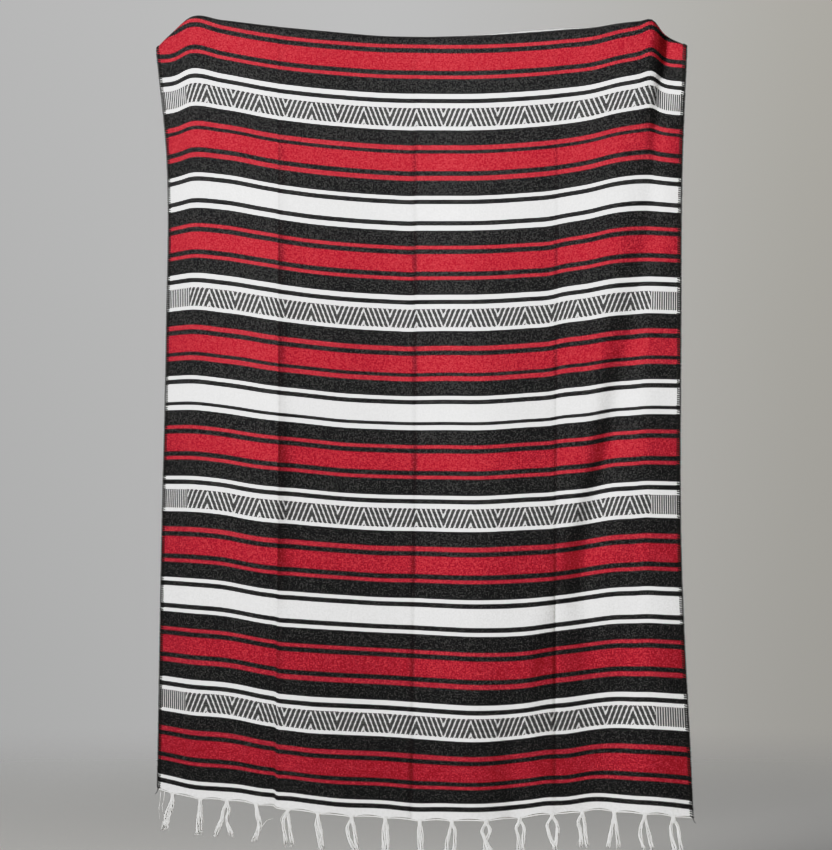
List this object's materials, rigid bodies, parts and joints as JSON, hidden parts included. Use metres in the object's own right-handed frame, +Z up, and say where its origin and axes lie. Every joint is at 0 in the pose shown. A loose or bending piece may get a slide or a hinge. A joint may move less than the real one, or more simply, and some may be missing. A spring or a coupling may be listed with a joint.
{
  "type": "mexican serape",
  "caption": "Striped woven wool serape blanket with overcast edges and fringed ends, hanging from two holds, its upper end folded back.",
  "frame": {"origin": "the left hold: the top of the fold, 88 mm in from the left selvedge, where a hand or peg holds the cloth up", "axes": "+Z up, the cloth hanging towards -Z; +X from the left hold to the right one, as seen from the front; the front faces -Y"},
  "size_m": [1.2255, 0.1216, 1.9309],
  "materials": {
    "weave": "coarse plain weave, crimson, charcoal and off-white wefts",
    "overcast_thread": "matt black overcast thread",
    "tassel_yarn": "matt off-white warp yarn"
  },
  "bodies": {
    "root": {"cloth": "weave", "selvedge_left": "overcast_thread", "selvedge_right": "overcast_thread", "tassel_lower_01": "tassel_yarn", "tassel_lower_02": "tassel_yarn", "tassel_lower_03": "tassel_yarn", "tassel_lower_04": "tassel_yarn", "tassel_lower_05": "tassel_yarn", "tassel_lower_06": "tassel_yarn", "tassel_lower_07": "tassel_yarn", "tassel_lower_08": "tassel_yarn", "tassel_lower_09": "tassel_yarn", "tassel_lower_10": "tassel_yarn", "tassel_lower_11": "tassel_yarn", "tassel_lower_12": "tassel_yarn", "tassel_lower_13": "tassel_yarn", "tassel_lower_14": "tassel_yarn", "tassel_lower_15": "tassel_yarn", "tassel_lower_16": "tassel_yarn", "tassel_lower_17": "tassel_yarn", "tassel_upper_01": "tassel_yarn", "tassel_upper_02": "tassel_yarn", "tassel_upper_03": "tassel_yarn", "tassel_upper_04": "tassel_yarn", "tassel_upper_05": "tassel_yarn", "tassel_upper_06": "tassel_yarn", "tassel_upper_07": "tassel_yarn", "tassel_upper_08": "tassel_yarn", "tassel_upper_09": "tassel_yarn", "tassel_upper_10": "tassel_yarn", "tassel_upper_11": "tassel_yarn", "tassel_upper_12": "tassel_yarn", "tassel_upper_13": "tassel_yarn", "tassel_upper_14": "tassel_yarn", "tassel_upper_15": "tassel_yarn", "tassel_upper_16": "tassel_yarn", "tassel_upper_17": "tassel_yarn"}
  },
  "joints": []
}
